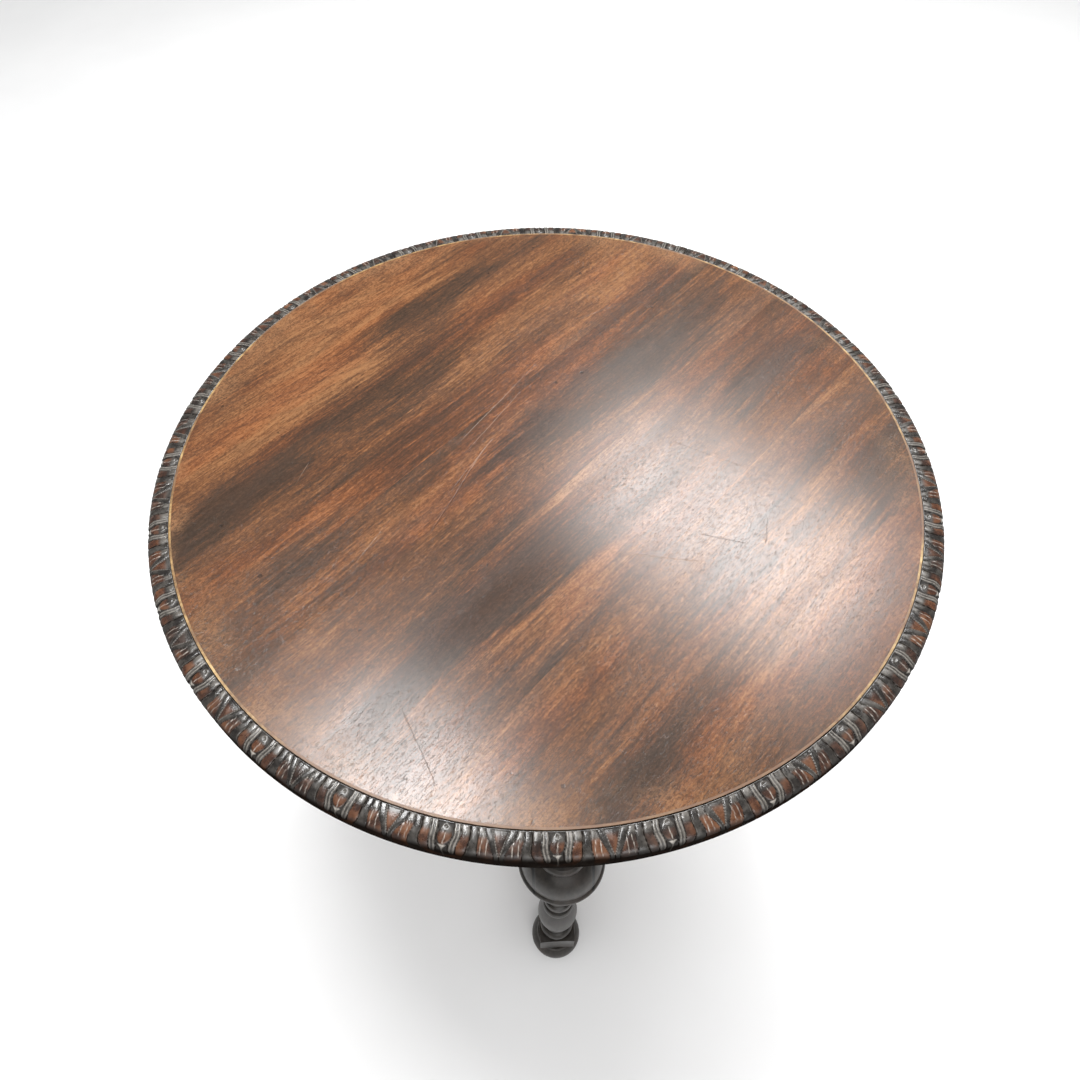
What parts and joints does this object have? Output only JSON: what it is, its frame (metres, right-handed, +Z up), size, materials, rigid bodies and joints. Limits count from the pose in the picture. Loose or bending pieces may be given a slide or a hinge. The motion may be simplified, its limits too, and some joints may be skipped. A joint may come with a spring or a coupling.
{
  "type": "tilt top table",
  "caption": "Round wooden tilt-top table with an egg-carved rim and string inlay, on four turned inverted-cup legs joined by crossed rails.",
  "frame": {"origin": "on the floor, below the middle of the round top, which is also the middle of the four feet", "axes": "+Z up; +X along the boards' grain and along the tilt axis; +Y towards the side that the top pivots on, so the front edge, at -Y, is the one that lifts"},
  "size_m": [0.7736, 0.7736, 0.73],
  "materials": {
    "boards": "satin",
    "string_wood": "satin",
    "carved_wood": "satin",
    "leg_wood": "satin",
    "rail_wood": "satin",
    "peg_wood": "satin",
    "old_brass": "aged",
    "screw_steel": "satin",
    "pad_leather": "matt"
  },
  "bodies": {
    "base": {"leg_front_left": "leg_wood", "cup_cheeks_front_left": "leg_wood", "foot_front_left": "leg_wood", "leg_front_right": "leg_wood", "cup_cheeks_front_right": "leg_wood", "foot_front_right": "leg_wood", "leg_rear_right": "leg_wood", "cup_cheeks_rear_right": "leg_wood", "foot_rear_right": "leg_wood", "leg_rear_left": "leg_wood", "cup_cheeks_rear_left": "leg_wood", "foot_rear_left": "leg_wood", "bearer_a": "rail_wood", "stretcher_a": "rail_wood", "bearer_b": "rail_wood", "stretcher_b": "rail_wood", "finial": "leg_wood", "catch_block": "rail_wood", "bearer_pegs": "peg_wood", "stretcher_pegs": "peg_wood", "pivot_pins": "screw_steel", "foot_glides": "screw_steel", "catch_screw": "screw_steel", "batten_pads": "pad_leather", "latch_keeper": "old_brass", "keeper_screws": "old_brass"},
    "top": {"board_1": "boards", "board_2": "boards", "board_3": "boards", "board_4": "boards", "board_5": "boards", "rim_segment_1": "carved_wood", "rim_segment_2": "carved_wood", "rim_segment_3": "carved_wood", "rim_segment_4": "carved_wood", "batten_left": "rail_wood", "batten_right": "rail_wood", "string_inlay": "string_wood", "batten_screws": "screw_steel", "stop_buttons": "pad_leather", "latch_housing": "old_brass", "latch_screws": "old_brass"},
    "latch": {"latch_bolt": "old_brass", "latch_knob": "old_brass"}
  },
  "joints": [
    {"name": "top_tilt", "type": "hinge", "parent": "base", "child": "top", "pos_m": [0, 0.229, 0.668], "axis": [-1, 0, 0], "range_deg": [0, 90]},
    {"name": "latch_slide", "type": "slide", "parent": "top", "child": "latch", "axis": [-1, 0, 0], "range_m": [0, 0.012]}
  ]
}
